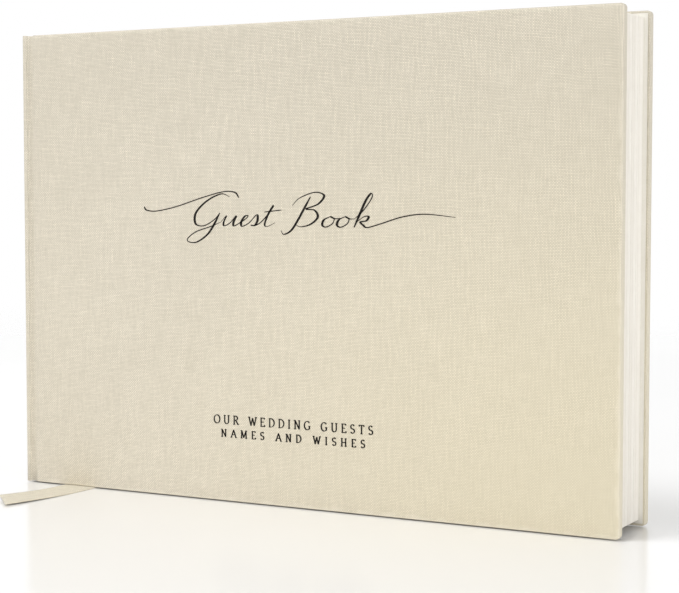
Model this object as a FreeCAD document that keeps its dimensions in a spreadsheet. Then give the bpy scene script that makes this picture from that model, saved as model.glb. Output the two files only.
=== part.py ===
"""Wedding guest book: a case-bound (hardcover) book in landscape format, standing on its tail edge.

The book is built the way a binder builds it.  Twelve folded sections are sewn, lined and
banded into a text block.  Two boards and a spine board are covered with linen to make the
case.  The endpapers then hang the block in the case.  A flat ribbon marker is caught between
the middle sections.

Frame: +X runs from the spine to the fore-edge, +Y from the front cover to the back cover and
+Z from tail to head.  The origin is at the middle of the closed book, on the surface below it.
Inside the pieces, x is counted from the spine's outer face and z from the tail of the case.
"""
import FreeCAD, Part
import os

import Sketcher
from FreeCAD import Vector

doc = FreeCAD.newDocument("wedding_guest_book")

# ---------------------------------------------------------------- driving dimensions, in mm

SIZES = [
    ("page_width", "211", "depth of a page, from spine fold to fore-edge"),
    ("page_height", "150", "height of a page"),
    ("square", "2", "how far the boards stand past the pages at head, tail and fore-edge"),
    ("cloth", "0.4", "thickness of the covering linen"),
    ("board", "2.6", "thickness of a cover board"),
    ("spine_board", "1.6", "thickness of the spine board"),
    ("paper", "0.16", "thickness of one leaf"),
    ("leaf_pitch", "0.2", "room that one leaf takes in the block, air included"),
    ("section_leaves", "8", "leaves in one folded section"),
    ("pastedown", "0.2", "thickness of the pasted half of an endpaper, glue included"),
    ("cover_gap", "0.1", "air between a closed cover and the first leaf"),
    ("ribbon_slot", "0.3", "opening that the ribbon keeps between the middle sections"),
    ("turn_in", "15", "width of linen folded over the inside of a board"),
    ("groove", "2.4", "width of the groove between the spine and a cover"),
    ("axis_lift", "0.15", "height of the hinge axis above the cover's outer face"),
    ("edge_round", "0.35", "rounding of the linen over a board's edge"),
    ("fold_round", "0.7", "rounding of a section's fold"),
    ("thread", "0.4", "diameter of the sewing thread across the folds"),
    ("mull", "0.15", "thickness of the open-weave spine fabric"),
    ("mull_end", "12", "how far the mull stops short of head and tail"),
    ("mull_flap", "25", "width of mull glued inside a cover"),
    ("lining", "0.2", "thickness of the kraft paper spine lining"),
    ("hollow", "0.25", "air between the lining and the spine board"),
    ("band_bead", "1.4", "diameter of a headband's bead"),
    ("band_skirt", "8", "height of the headband's tape glued to the spine"),
    ("tip", "5", "width of the glued strip that holds an endpaper to its section"),
    ("bend_gap", "0.1", "air between a leaf's bend line and the paper beside it"),
    ("leaf_step", "1.2", "how much further in each following leaf bends"),
    ("ribbon_width", "12.7", "width of the ribbon marker"),
    ("ribbon", "0.25", "thickness of the ribbon marker"),
    ("ribbon_inset", "16.4", "distance from the spine's outer face to the ribbon's near edge"),
    ("ribbon_bend", "1.9", "inner radius where the ribbon turns from the tail onto the surface"),
    ("ribbon_run", "5", "straight ribbon in front of the front cover"),
    ("ribbon_curve", "120", "radius of the ribbon's middle line where it drifts to the side"),
    ("ribbon_angle", "17", "angle over which the ribbon drifts, in degrees"),
    ("floor_gap", "0.3", "height at which the case stands, on the ribbon below it"),
]

# Sizes that follow from the ones above.
WORKED_OUT = [
    ("section_thick", "=section_leaves * leaf_pitch"),
    ("block_half", "=6 * section_thick + ribbon_slot / 2"),
    ("cover_thick", "=cloth + board + pastedown"),
    ("case_half", "=block_half + leaf_pitch + cover_gap + cover_thick"),
    ("shoulder", "=cloth + spine_board"),
    ("block_start", "=shoulder + hollow + lining + mull + thread"),
    ("block_end", "=block_start + page_width"),
    ("case_width", "=block_end + square"),
    ("case_height", "=page_height + 2 * square"),
    ("cover_start", "=shoulder + groove"),
    ("board_end", "=case_width - cloth"),
    ("board_tall", "=case_height - 2 * cloth"),
    ("window_end", "=case_width - turn_in"),
    ("window_tall", "=case_height - 2 * turn_in"),
    ("case_left", "=-case_width / 2"),
    ("block_low", "=floor_gap + square"),
    ("ribbon_turn_top", "=ribbon + ribbon_bend"),
    ("ribbon_straight_end", "=case_half + ribbon_run"),
    ("ribbon_centre_x", "=case_left + ribbon_inset + ribbon_width / 2 - ribbon_curve"),
]

sheet = doc.addObject("Spreadsheet::Sheet", "book")
row = 0
for alias, value, meaning in SIZES:
    row += 1
    sheet.set(f"A{row}", meaning)
    sheet.set(f"B{row}", value)
    sheet.setAlias(f"B{row}", alias)
for alias, formula in WORKED_OUT:
    row += 1
    sheet.set(f"A{row}", alias.replace("_", " "))
    sheet.set(f"B{row}", formula)
    sheet.setAlias(f"B{row}", alias)
doc.recompute()


def size(alias):
    """The present value of one cell, for counting and choosing edges."""
    return float(sheet.get(alias))


def bind(piece, **expressions):
    """Tie a piece's properties to the sheet; place_x, place_y and place_z move it."""
    for name, expression in expressions.items():
        if name.startswith("place_"):
            name = "Placement.Base." + name[-1]
        piece.setExpression(name, expression)
    return piece


# ---------------------------------------------------------------- helpers for the pieces

def origin_plane(body, role):
    return next(plane for plane in body.Origin.OriginFeatures if plane.Role == role)


def rectangle(body, name, role, offset, left, low, wide, tall):
    """A constrained rectangle on one of the body's origin planes, moved along its normal."""
    sketch = body.newObject("Sketcher::SketchObject", name)
    sketch.AttachmentSupport = [(origin_plane(body, role), "")]
    sketch.MapMode = "FlatFace"
    sketch.setExpression("AttachmentOffset.Base.z", offset)
    corners = [Vector(0, 0, 0), Vector(1, 0, 0), Vector(1, 1, 0), Vector(0, 1, 0)]
    for i in range(4):
        sketch.addGeometry(Part.LineSegment(corners[i], corners[(i + 1) % 4]), False)
    for i in range(4):
        sketch.addConstraint(Sketcher.Constraint("Coincident", i, 2, (i + 1) % 4, 1))
    for i in (0, 2):
        sketch.addConstraint(Sketcher.Constraint("Horizontal", i))
    for i in (1, 3):
        sketch.addConstraint(Sketcher.Constraint("Vertical", i))
    measures = [
        ("DistanceX", (-1, 1), (0, 1), left),
        ("DistanceY", (-1, 1), (0, 1), low),
        ("DistanceX", (0, 1), (0, 2), wide),
        ("DistanceY", (1, 1), (1, 2), tall),
    ]
    for kind, start, end, expression in measures:
        number = sketch.addConstraint(Sketcher.Constraint(kind, *start, *end, 1.0))
        sketch.setExpression(f"Constraints[{number}]", expression)
    return sketch


def feature(body, kind, name, sketch, length, reverse):
    """A Pad or a Pocket from a sketch; the body is recomputed so that the next one has a base."""
    made = body.newObject("PartDesign::" + kind, name)
    made.Profile = sketch
    made.Reversed = reverse
    made.setExpression("Length", length)
    doc.recompute()
    return made


def checked_pocket(body, name, sketch, length, reverse):
    before = body.Shape.Volume
    made = feature(body, "Pocket", name, sketch, length, reverse)
    if made.Shape.Volume >= before:
        raise ValueError(f"{name} of {body.Label} cuts nothing")
    return made


def round_edges(body, name, base, wanted, radius):
    """Fillet the edges of the last feature that the test picks."""
    made = body.newObject("PartDesign::Fillet", name)
    names = [f"Edge{i + 1}" for i, edge in enumerate(base.Shape.Edges) if wanted(edge)]
    made.Base = (base, names)
    made.setExpression("Radius", radius)
    doc.recompute()
    return made


def on_plane(edge, axis, value):
    """Whether both ends of an edge have this coordinate."""
    return all(abs(getattr(vertex.Point, axis) - value) < 1e-6 for vertex in edge.Vertexes)


def new_body(label):
    body = doc.addObject("PartDesign::Body", label)
    body.Label = label
    return body


def plate(label, x_start, x_length, y_start, y_length, z_start, z_length):
    """A flat sheet of paper or fabric: one box with every size and place from the sheet."""
    box = doc.addObject("Part::Box", label)
    box.Label = label
    bind(box, Length=x_length, Width=y_length, Height=z_length,
         place_x="book.case_left + " + x_start, place_y=y_start, place_z=z_start)
    return box


def mirrored(source, label):
    """The same piece on the back of the book: the front one mirrored in the middle plane."""
    mirror = doc.addObject("Part::Mirroring", label)
    mirror.Label = label
    mirror.Source = source
    mirror.Normal = Vector(0, 1, 0)
    return mirror


def round_bar(name, length, radius, x, y, z):
    """A round bar along +Y."""
    bar = doc.addObject("Part::Cylinder", name)
    bar.Placement.Rotation = FreeCAD.Rotation(Vector(1, 0, 0), -90)
    return bind(bar, Radius=radius, Height=length, place_x="book.case_left + " + x, place_y=y, place_z=z)


nodes = []


# ---------------------------------------------------------------- the case: boards and linen
# Each cover is a grey board in a tray of linen.  The linen lies on the outer face, wraps head,
# tail and fore-edge, and is folded over the inner face, where the board is thinner by as much.

def place_cover(body):
    return bind(body, place_x="book.case_left", place_y="-book.case_half", place_z="book.floor_gap")


def cover_cloth():
    body = new_body("front_cloth")
    outline = rectangle(body, "cloth_outline", "XZ_Plane", "0", "book.cover_start", "0",
                        "book.case_width - book.cover_start", "book.case_height")
    pad = feature(body, "Pad", "cloth_pad", outline, "book.cloth + book.board", True)
    right = size("case_width")
    top = size("case_height")
    round_edges(body, "cloth_rounding", pad,
                lambda edge: on_plane(edge, "y", 0) and (
                    on_plane(edge, "x", right) or on_plane(edge, "z", 0) or on_plane(edge, "z", top)),
                "book.edge_round")
    window = rectangle(body, "turn_in_window", "XZ_Plane", "-(book.cloth + book.board)",
                       "book.cover_start", "book.turn_in",
                       "book.window_end - book.cover_start", "book.window_tall")
    checked_pocket(body, "turn_in_pocket", window, "book.cloth", True)
    seat = rectangle(body, "board_seat", "XZ_Plane", "-book.board",
                     "book.cover_start", "book.cloth",
                     "book.board_end - book.cover_start", "book.board_tall")
    checked_pocket(body, "board_pocket", seat, "book.board - book.cloth", True)
    return place_cover(body)


def cover_board():
    body = new_body("front_board")
    core = rectangle(body, "board_outline", "XZ_Plane", "-book.cloth",
                     "book.cover_start", "book.cloth",
                     "book.board_end - book.cover_start", "book.board_tall")
    feature(body, "Pad", "board_core", core, "book.board - book.cloth", True)
    window = rectangle(body, "inner_face", "XZ_Plane", "-book.board",
                       "book.cover_start", "book.turn_in",
                       "book.window_end - book.cover_start", "book.window_tall")
    feature(body, "Pad", "board_inner_layer", window, "book.cloth", True)
    flap = rectangle(body, "flap_seat", "XZ_Plane", "-(book.cloth + book.board)",
                     "book.cover_start", "book.turn_in",
                     "book.mull_flap", "book.window_tall")
    checked_pocket(body, "flap_pocket", flap, "book.mull", True)
    return place_cover(body)


def mull_flap():
    """The flap of spine fabric that is glued in a shallow seat of the board, under the pastedown."""
    return plate("front_mull_flap", "book.cover_start", "book.mull_flap",
                 "-book.case_half + book.cloth + book.board - book.mull", "book.mull",
                 "book.floor_gap + book.turn_in", "book.window_tall")


def pastedown():
    return plate("front_pastedown", "book.cover_start", "book.block_end - book.cover_start",
                 "-book.case_half + book.cloth + book.board", "book.pastedown",
                 "book.block_low", "book.page_height")


def hinge_cloth():
    """Linen across the groove: a half tube about the hinge axis, which a turning cover never meets."""
    outer = doc.addObject("Part::Cylinder", "hinge_outside")
    inner = doc.addObject("Part::Cylinder", "hinge_inside")
    radii = {outer: "book.groove / 2", inner: "book.groove / 2 - book.cloth"}
    for tube, radius in radii.items():
        tube.Angle = 180
        bind(tube, Radius=radius, Height="book.case_height",
             place_x="book.case_left + book.shoulder + book.groove / 2",
             place_y="-(book.case_half + book.axis_lift)", place_z="book.floor_gap")
    half_tube = doc.addObject("Part::Cut", "front_hinge_cloth")
    half_tube.Label = "front_hinge_cloth"
    half_tube.Base = outer
    half_tube.Tool = inner
    return half_tube


front_pieces = [cover_cloth(), cover_board(), mull_flap(), pastedown(), hinge_cloth()]
doc.recompute()
for piece in front_pieces:
    nodes.append(piece)
    nodes.append(mirrored(piece, piece.Label.replace("front", "back")))


# The spine is a narrower board in a linen tray of its own, open towards the block.

def place_spine(body):
    return bind(body, place_x="book.case_left", place_z="book.floor_gap")


def spine_cloth():
    body = new_body("spine_cloth")
    outline = rectangle(body, "spine_outline", "YZ_Plane", "0", "-book.case_half", "0",
                        "2 * book.case_half", "book.case_height")
    pad = feature(body, "Pad", "spine_pad", outline, "book.shoulder", False)
    round_edges(body, "spine_rounding", pad, lambda edge: on_plane(edge, "x", 0), "book.edge_round")
    window = rectangle(body, "spine_window", "YZ_Plane", "book.shoulder",
                       "-(book.case_half - book.cloth)", "book.turn_in",
                       "2 * (book.case_half - book.cloth)", "book.window_tall")
    checked_pocket(body, "spine_turn_in", window, "book.cloth", False)
    seat = rectangle(body, "spine_seat", "YZ_Plane", "book.spine_board",
                     "-(book.case_half - book.cloth)", "book.cloth",
                     "2 * (book.case_half - book.cloth)", "book.board_tall")
    checked_pocket(body, "spine_pocket", seat, "book.spine_board - book.cloth", False)
    return place_spine(body)


def spine_board():
    body = new_body("spine_board")
    core = rectangle(body, "spine_core", "YZ_Plane", "book.cloth",
                     "-(book.case_half - book.cloth)", "book.cloth",
                     "2 * (book.case_half - book.cloth)", "book.board_tall")
    feature(body, "Pad", "spine_core_pad", core, "book.spine_board - book.cloth", False)
    window = rectangle(body, "spine_inner_face", "YZ_Plane", "book.spine_board",
                       "-(book.case_half - book.cloth)", "book.turn_in",
                       "2 * (book.case_half - book.cloth)", "book.window_tall")
    feature(body, "Pad", "spine_inner_layer", window, "book.cloth", False)
    return place_spine(body)


nodes += [spine_cloth(), spine_board()]


# ---------------------------------------------------------------- the text block
# Twelve sections of eight leaves, each with its rounded fold towards the spine.  The first
# section gives up its two outer leaves past the gutter, because those leaves turn.

SECTIONS = 12
LOOSE_LEAVES = 2


def section(number):
    body = new_body(f"section_{number:02d}")
    outline = rectangle(body, "section_outline", "XY_Plane", "0", "book.block_start", "0",
                        "book.page_width", "book.section_thick")
    pad = feature(body, "Pad", "section_pad", outline, "book.page_height", False)
    fold = size("block_start")
    across = size("section_thick")
    round_edges(body, "section_fold", pad,
                lambda edge: on_plane(edge, "x", fold) and (
                    on_plane(edge, "y", 0) or on_plane(edge, "y", across)),
                "book.fold_round")
    if number == 1:
        notch = rectangle(body, "loose_leaves", "XY_Plane", "0",
                          "book.block_start + book.tip + book.leaf_step - book.bend_gap", "0",
                          "book.page_width", f"{LOOSE_LEAVES} * book.leaf_pitch")
        made = body.newObject("PartDesign::Pocket", "loose_leaf_pocket")
        made.Profile = notch
        made.Reversed = True
        made.Type = "ThroughAll"
    slot = " + book.ribbon_slot" if number > SECTIONS / 2 else ""
    return bind(body, place_x="book.case_left",
                place_y=f"-book.block_half + {number - 1} * book.section_thick" + slot,
                place_z="book.block_low")


nodes += [section(number) for number in range(1, SECTIONS + 1)]


def turning_leaf(label, steps):
    """One free leaf; steps counts from the flyleaf, which is 0, towards the middle of the book."""
    start = f"book.block_start + book.tip + {steps} * book.leaf_step"
    return plate(label, start, "book.block_end - (" + start + ")",
                 f"-book.block_half + {steps - 1} * book.leaf_pitch", "book.paper",
                 "book.block_low", "book.page_height")


front_flyleaf = turning_leaf("front_flyleaf", 0)
nodes += [front_flyleaf, mirrored(front_flyleaf, "back_flyleaf")]
nodes += [turning_leaf(f"leaf_{step:02d}", step) for step in range(1, LOOSE_LEAVES + 1)]

# The strip of each endpaper that is glued along the fold of the outermost section.
front_tip = plate("front_endpaper_tip", "book.block_start + book.fold_round",
                  "book.tip - book.fold_round - book.bend_gap",
                  "-book.block_half - book.leaf_pitch", "book.leaf_pitch",
                  "book.block_low", "book.page_height")
nodes += [front_tip, mirrored(front_tip, "back_endpaper_tip")]


# ---------------------------------------------------------------- sewing, lining and bands

SEWING_STATIONS = 6

stitches = []
for station in range(1, SEWING_STATIONS + 1):
    stitches.append(round_bar(
        f"stitch_{station}", "2 * (book.block_half - book.fold_round)", "book.thread / 2",
        "book.block_start - book.thread / 2", "-(book.block_half - book.fold_round)",
        f"book.block_low + book.page_height * {station} / {SEWING_STATIONS + 1}"))
threads = doc.addObject("Part::Compound", "sewing_threads")
threads.Label = "sewing_threads"
threads.Links = stitches
nodes.append(threads)

nodes.append(plate("mull", "book.block_start - book.thread - book.mull", "book.mull",
                   "-book.block_half", "2 * book.block_half",
                   "book.block_low + book.mull_end", "book.page_height - 2 * book.mull_end"))
nodes.append(plate("spine_lining", "book.shoulder + book.hollow", "book.lining",
                   "-book.block_half", "2 * book.block_half", "book.block_low", "book.page_height"))


def band(label, bead_z, skirt_z):
    """A headband: a round bead over the fold and a flat tape glued down the spine."""
    bead = round_bar(label + "_bead", "2 * book.block_half", "book.band_bead / 2",
                     "book.block_start + book.band_bead / 4", "-book.block_half", bead_z)
    skirt = plate(label + "_skirt", "book.block_start - book.thread", "book.thread",
                  "-book.block_half", "2 * book.block_half", skirt_z, "book.band_skirt + book.band_bead / 2")
    joined = doc.addObject("Part::Fuse", label)
    joined.Label = label
    joined.Base = bead
    joined.Tool = skirt
    return joined


nodes.append(band("headband", "book.block_low + book.page_height + book.band_bead / 2",
                  "book.block_low + book.page_height - book.band_skirt"))
nodes.append(band("tailband", "book.block_low - book.band_bead / 2",
                  "book.block_low - book.band_bead / 2"))


# ---------------------------------------------------------------- the ribbon marker
# The ribbon hangs between the middle sections, turns onto the surface below the tail, passes
# under the front cover and drifts to the spine side, where its end is cut at an angle.

SCISSORS_REACH = 60.0
CUT_DIRECTION = 135.0


def ribbon_marker():
    """Four stretches of one flat strip, joined, and trimmed at its free end."""
    hang = plate("ribbon_hang", "book.ribbon_inset", "book.ribbon_width", "-book.ribbon / 2",
                 "book.ribbon", "book.ribbon_turn_top",
                 "book.block_low + book.page_height - book.ribbon_turn_top")
    outer = doc.addObject("Part::Cylinder", "ribbon_bend_outside")
    inner = doc.addObject("Part::Cylinder", "ribbon_bend_inside")
    radii = {outer: "book.ribbon_turn_top", inner: "book.ribbon_bend"}
    for tube, radius in radii.items():
        tube.Angle = 90
        tube.Placement.Rotation = FreeCAD.Rotation(Vector(0, 0, -1), Vector(0, 1, 0), Vector(1, 0, 0))
        bind(tube, Radius=radius, Height="book.ribbon_width",
             place_x="book.case_left + book.ribbon_inset",
             place_y="book.ribbon / 2 - book.ribbon_turn_top", place_z="book.ribbon_turn_top")
    bend = doc.addObject("Part::Cut", "ribbon_bend")
    bend.Base = outer
    bend.Tool = inner
    run = plate("ribbon_straight", "book.ribbon_inset", "book.ribbon_width",
                "-book.ribbon_straight_end",
                "book.ribbon_straight_end + book.ribbon / 2 - book.ribbon_turn_top",
                "0", "book.ribbon")
    far = doc.addObject("Part::Cylinder", "ribbon_drift_outside")
    near = doc.addObject("Part::Cylinder", "ribbon_drift_inside")
    radii = {far: "book.ribbon_curve + book.ribbon_width / 2",
             near: "book.ribbon_curve - book.ribbon_width / 2"}
    for disc, radius in radii.items():
        disc.Placement.Rotation = FreeCAD.Rotation(Vector(1, 0, 0), 180)
        bind(disc, Radius=radius, Height="book.ribbon", Angle="book.ribbon_angle * 1 deg",
             place_x="book.ribbon_centre_x", place_y="-book.ribbon_straight_end",
             place_z="book.ribbon")
    drift = doc.addObject("Part::Cut", "ribbon_drift")
    drift.Base = far
    drift.Tool = near
    whole = doc.addObject("Part::MultiFuse", "ribbon_whole")
    whole.Shapes = [hang, bend, run, drift]
    scissors = doc.addObject("Part::Box", "ribbon_scissors")
    scissors.Length = SCISSORS_REACH
    scissors.Width = SCISSORS_REACH
    scissors.Height = SCISSORS_REACH
    scissors.Placement.Rotation = FreeCAD.Rotation(Vector(0, 0, 1), CUT_DIRECTION)
    reach = "(book.ribbon_curve + book.ribbon_width / 2)"
    bind(scissors,
         place_x="book.ribbon_centre_x + " + reach + " * cos(book.ribbon_angle * 1 deg)",
         place_y="-book.ribbon_straight_end - " + reach + " * sin(book.ribbon_angle * 1 deg)")
    scissors.Placement.Base.z = -SCISSORS_REACH / 2
    trimmed = doc.addObject("Part::Cut", "ribbon_marker")
    trimmed.Label = "ribbon_marker"
    trimmed.Base = whole
    trimmed.Tool = scissors
    return trimmed


nodes.append(ribbon_marker())


# ---------------------------------------------------------------- check and write

doc.recompute()
for item in doc.Objects:
    if "Invalid" in item.State or "Error" in item.State:
        raise ValueError(f"{item.Name} failed: {item.State}")
for node in nodes:
    if node.Shape.isNull() or not node.Shape.isValid() or not node.Shape.Solids:
        raise ValueError(f"{node.Label} has no valid solid")

os.makedirs("parts", exist_ok=True)
for node in nodes:
    node.Shape.exportStep(f"parts/{node.Label}.step")
    box = node.Shape.BoundBox
    print(f"{node.Label:20s} x {box.XMin:8.2f} {box.XMax:8.2f}  y {box.YMin:7.2f} {box.YMax:7.2f}  "
          f"z {box.ZMin:7.2f} {box.ZMax:7.2f}  solids {len(node.Shape.Solids)}  "
          f"volume {node.Shape.Volume:.1f}")
print(len(nodes), "pieces")
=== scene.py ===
# %% [markdown]
# # A linen wedding guest book
# The book is case-bound: folded sections of paper are sewn into a block, and the block hangs in a
# case of two boards and a spine board covered with linen.  The measured assembly comes from the
# frame, so every piece below takes its size and place from it.  All lengths are in metres, with +X
# from the spine to the fore-edge, +Y from the front cover to the back cover and +Z from tail to head.

# %% Load the measured book
import math
import random

import bmesh
import bpy
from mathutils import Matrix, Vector, noise


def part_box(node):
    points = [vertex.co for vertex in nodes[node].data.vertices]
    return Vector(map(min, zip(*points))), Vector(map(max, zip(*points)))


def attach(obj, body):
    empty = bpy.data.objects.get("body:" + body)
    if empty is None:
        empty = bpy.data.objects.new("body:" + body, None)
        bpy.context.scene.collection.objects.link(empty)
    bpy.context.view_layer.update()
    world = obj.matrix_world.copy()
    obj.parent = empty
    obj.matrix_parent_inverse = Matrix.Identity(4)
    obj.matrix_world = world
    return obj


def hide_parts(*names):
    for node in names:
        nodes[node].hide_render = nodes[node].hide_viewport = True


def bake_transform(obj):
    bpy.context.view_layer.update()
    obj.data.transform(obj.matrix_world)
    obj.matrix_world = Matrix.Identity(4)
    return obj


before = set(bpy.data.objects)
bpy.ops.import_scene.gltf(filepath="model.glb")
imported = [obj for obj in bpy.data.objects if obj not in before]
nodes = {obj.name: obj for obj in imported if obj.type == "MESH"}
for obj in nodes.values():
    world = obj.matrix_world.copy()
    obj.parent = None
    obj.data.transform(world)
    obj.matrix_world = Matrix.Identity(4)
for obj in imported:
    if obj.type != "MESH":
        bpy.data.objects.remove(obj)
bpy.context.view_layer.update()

MM = 0.001

# %% [markdown]
# ## Where things are
# A binder measures from the spine.  A few planes say where everything else goes: the outer faces of
# the covers, the edges of the case and the edges of the block of pages.

# %% Planes of the case and the block
cloth_low, cloth_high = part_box("front_cloth")
spine_low, spine_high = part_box("spine_cloth")
page_low, page_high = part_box("section_02")
fly_low, fly_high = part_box("front_flyleaf")

case_left = spine_low[0]
case_right = cloth_high[0]
case_bottom = cloth_low[2]
case_top = cloth_high[2]
front_face = cloth_low[1]
shoulder = spine_high[0]
cover_start = cloth_low[0]
block_left = page_low[0]
block_bottom = page_low[2]
block_top = page_high[2]
print(f"case {(case_right - case_left) / MM:.1f} x {(case_top - case_bottom) / MM:.1f} mm, "
      f"{-2 * front_face / MM:.1f} mm thick; groove {(cover_start - shoulder) / MM:.1f} mm")

# %% [markdown]
# ## Camera, floor and light
# The book stands on a pale table in a bright studio.  A long lens from the fore-edge side keeps the
# far spine only a little smaller than the near edge.  The camera is set by its place and two angles
# instead of a target, so that it can be compared with a tape measure.

# %% Camera
camera_data = bpy.data.cameras.new("studio_camera")
camera_data.sensor_width = 36.0
camera_data.lens = 90.25
camera = bpy.data.objects.new("studio_camera", camera_data)
camera.location = (0.26925, -0.4787, 0.10021)
camera.rotation_euler = (math.radians(90 - 3.456), 0, math.radians(28.532))
bpy.context.scene.collection.objects.link(camera)
bpy.context.scene.camera = camera
print("camera is", round((camera.location - Vector((0, 0, 0.077))).length, 3), "m from the book")

# %% [markdown]
# A material is a small tree of nodes.  Writing each node takes one line with a helper that makes the
# node, sets its values and joins its sockets.  It can then be read from top to bottom like a recipe.

# %% Helpers for node trees
def add_node(tree, kind, inputs=None, **settings):
    """One node; inputs maps a socket's name or number to a value or to another node's socket."""
    made = tree.nodes.new(kind)
    for name, value in settings.items():
        setattr(made, name, value)
    for place, value in (inputs or {}).items():
        if isinstance(value, bpy.types.NodeSocket):
            tree.links.new(value, made.inputs[place])
        else:
            made.inputs[place].default_value = value
    return made


def calc(tree, operation, first, second=0.0):
    return add_node(tree, "ShaderNodeMath", {0: first, 1: second}, operation=operation).outputs[0]


def blend_colour(tree, amount, first, second):
    mix = add_node(tree, "ShaderNodeMix", data_type="RGBA")
    for place, value in ((0, amount), (6, first), (7, second)):
        if isinstance(value, bpy.types.NodeSocket):
            tree.links.new(value, mix.inputs[place])
        else:
            mix.inputs[place].default_value = value
    return mix.outputs[2]


def ramp(tree, value, low, high, start=0.0, end=1.0):
    """A value mapped smoothly from low..high to start..end."""
    made = add_node(tree, "ShaderNodeMapRange", {0: value, 1: low, 2: high, 3: start, 4: end},
                    interpolation_type="SMOOTHSTEP")
    return made.outputs[0]


def new_group(name, inputs, outputs):
    """An empty shader node group with named sockets."""
    group = bpy.data.node_groups.new(name, "ShaderNodeTree")
    for label, kind, value in inputs:
        socket = group.interface.new_socket(name=label, in_out="INPUT",
                                            socket_type="NodeSocket" + kind)
        if value is not None:
            socket.default_value = value
    for label, kind in outputs:
        group.interface.new_socket(name=label, in_out="OUTPUT", socket_type="NodeSocket" + kind)
    enter = group.nodes.new("NodeGroupInput")
    leave = group.nodes.new("NodeGroupOutput")
    return group, enter.outputs, leave.inputs


def use_group(tree, group, **inputs):
    """The group placed in a tree; underscores in the names stand for spaces."""
    made = add_node(tree, "ShaderNodeGroup", node_tree=group)
    for name, value in inputs.items():
        place = made.inputs[name.replace("_", " ")]
        if isinstance(value, bpy.types.NodeSocket):
            tree.links.new(value, place)
        else:
            place.default_value = value
    return made.outputs


def new_material(name, roughness=0.9, specular=0.25, sheen=0.0):
    """A material with its Principled BSDF ready: (material, tree, shader)."""
    material = bpy.data.materials.new(name)
    material.use_nodes = True
    tree = material.node_tree
    shader = tree.nodes["Principled BSDF"]
    shader.inputs["Roughness"].default_value = roughness
    shader.inputs["Specular IOR Level"].default_value = specular
    shader.inputs["Sheen Weight"].default_value = sheen
    return material, tree, shader


def finish_shader(tree, shader, colour, height=None, strength=0.3, depth=0.0001, roughness=None):
    """Colour, bump and roughness into the shader."""
    tree.links.new(colour, shader.inputs["Base Color"])
    if roughness is not None:
        tree.links.new(roughness, shader.inputs["Roughness"])
    if height is not None:
        bump = add_node(tree, "ShaderNodeBump",
                        {"Strength": strength, "Distance": depth, "Height": height})
        tree.links.new(bump.outputs[0], shader.inputs["Normal"])


print("node helpers ready")

# %% [markdown]
# The table top is white lacquer.  A little gloss gives the faint upside-down book that a polished
# table shows, and its alpha fades out before the horizon.  Square soft boxes stand above, in front, at
# the fore-edge and behind, and a thin low one lifts the foot of the cover.  They are hidden from
# reflections, since a lamp mirrored in the lacquer would draw the eye away from the book.

# %% Floor and lights
FLOOR_SIZE = 4.0
FLOOR_DROP = 0.05 * MM
FADE_FROM = 0.45
FADE_TO = 1.1


def make_floor():
    bpy.ops.mesh.primitive_plane_add(size=FLOOR_SIZE, location=(0, 0, -FLOOR_DROP))
    floor = bpy.context.object
    floor.name = "table_top"
    material, tree, shader = new_material("white_lacquer", roughness=0.13, specular=0.62)
    place = add_node(tree, "ShaderNodeTexCoord").outputs["Object"]
    haze = add_node(tree, "ShaderNodeTexNoise", {"Vector": place, "Scale": 3.0, "Detail": 2.0})
    colour = blend_colour(tree, haze.outputs[0], (0.875, 0.875, 0.875, 1), (0.905, 0.905, 0.905, 1))
    finish_shader(tree, shader, colour, roughness=ramp(tree, haze.outputs[0], 0.3, 0.7, 0.11, 0.16))
    reach = add_node(tree, "ShaderNodeVectorMath", {0: place}, operation="LENGTH").outputs[1]
    tree.links.new(ramp(tree, reach, FADE_FROM, FADE_TO, 1.0, 0.0), shader.inputs["Alpha"])
    floor.data.materials.append(material)


# name, place, aim, width, height, watts
SOFT_BOXES = [
    ("key_box", (-0.36, -0.42, 1.26), (0, 0, 0.05), 0.50, 0.50, 9.0),
    ("front_box", (-0.40, -1.22, 0.15), (0, 0, 0.05), 0.50, 0.50, 3.9),
    ("side_box", (1.15, -0.36, 0.16), (0.1, 0, 0.07), 0.40, 0.40, 4.8),
    ("low_box", (-0.03, -0.30, 0.015), (0, 0, 0.03), 0.32, 0.025, 0.10),
    ("back_box", (-0.45, 1.50, 0.60), (0, 0, 0.05), 0.70, 0.70, 5.5),
]
ROOM_ON_SURFACES = 0.60


def soft_box(name, place, aim, width, height, watts):
    data = bpy.data.lights.new(name, "AREA")
    data.shape = "RECTANGLE"
    data.size = width
    data.size_y = height
    data.energy = watts
    light = bpy.data.objects.new(name, data)
    light.location = place
    light.rotation_euler = (Vector(aim) - Vector(place)).to_track_quat("-Z", "Y").to_euler()
    light.visible_camera = False
    light.visible_glossy = False
    bpy.context.scene.collection.objects.link(light)


def bright_room():
    """A white room that is dimmer where it lights a surface than where it is seen or mirrored."""
    world = bpy.data.worlds.new("bright_room")
    world.use_nodes = True
    tree = world.node_tree
    background = tree.nodes["Background"]
    background.inputs["Color"].default_value = (1.0, 1.0, 1.0, 1)
    lighting = add_node(tree, "ShaderNodeLightPath").outputs["Is Diffuse Ray"]
    strength = ramp(tree, lighting, 0.0, 1.0, 1.0, ROOM_ON_SURFACES)
    tree.links.new(strength, background.inputs["Strength"])
    bpy.context.scene.world = world


make_floor()
for box in SOFT_BOXES:
    soft_box(*box)
bright_room()
bpy.context.scene.view_settings.view_transform = "Standard"

# %% [markdown]
# ## Book linen
# Book linen is a plain weave: warp and weft pass over and under each other like a chessboard.  Its
# yarns are uneven, with slubs, which are short thick stretches, and each yarn has a tone of its own.
# A picture of cloth would repeat, so the weave is worked out from the place on the surface instead:
# two waves for the yarns, a parity for over and under, and noise stretched along each yarn.  The
# lines of yarn wander a little, and the weft is a shade duller than the warp, as light catches the
# two at different angles.

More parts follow.
